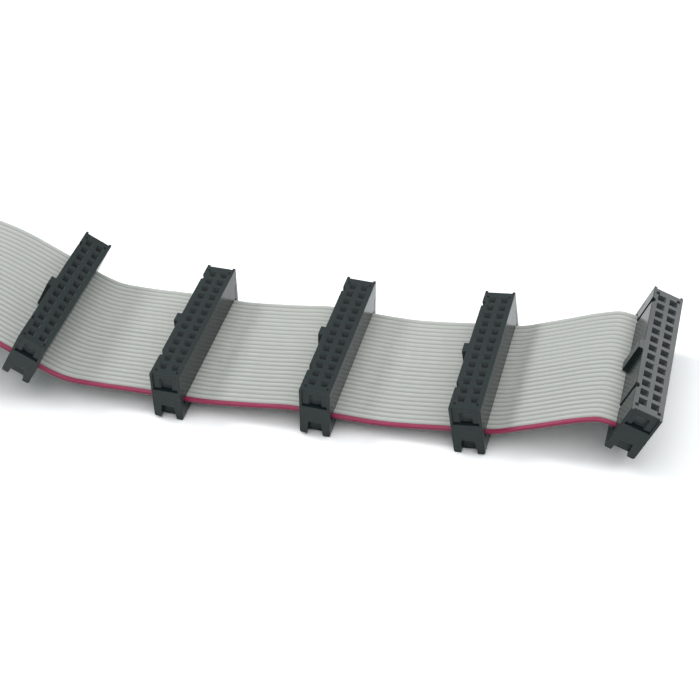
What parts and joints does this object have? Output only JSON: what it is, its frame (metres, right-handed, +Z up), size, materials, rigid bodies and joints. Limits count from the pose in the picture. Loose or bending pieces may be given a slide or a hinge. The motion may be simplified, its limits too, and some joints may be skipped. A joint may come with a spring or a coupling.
{
  "type": "ribbon cable",
  "caption": "Flat grey ribbon cable with one red edge wire and dark two-row keyed sockets crimped along it and at its ends.",
  "frame": {"origin": "middle of the bounding box, on the surface that the sockets stand on", "axes": "+X along the ribbon, from the arched end to the straight end; +Y across the ribbon, away from the red edge wire; +Z up"},
  "size_m": [0.1996, 0.0364, 0.0234],
  "materials": {
    "socket_plastic": "moulded, dark slate grey with a soft gloss",
    "cover_plastic": "moulded, dark slate grey with a soft gloss",
    "contact_metal": "gold-plated spring strip",
    "ribbon_pvc": "soft light grey, slightly satin",
    "marker_pvc": "soft crimson red, slightly satin",
    "copper": "bare copper"
  },
  "bodies": {
    "root": {"socket_body_1": "socket_plastic", "socket_body_2": "socket_plastic", "socket_body_3": "socket_plastic", "socket_body_4": "socket_plastic", "socket_body_5": "socket_plastic", "socket_body_6": "socket_plastic", "cover_1": "cover_plastic", "cover_2": "cover_plastic", "cover_3": "cover_plastic", "cover_4": "cover_plastic", "cover_5": "cover_plastic", "cover_6": "cover_plastic", "contacts_1": "contact_metal", "contacts_2": "contact_metal", "contacts_3": "contact_metal", "contacts_4": "contact_metal", "contacts_5": "contact_metal", "contacts_6": "contact_metal", "ribbon_insulation": "ribbon_pvc", "marker_wire_insulation": "marker_pvc", "conductors": "copper"}
  },
  "joints": []
}
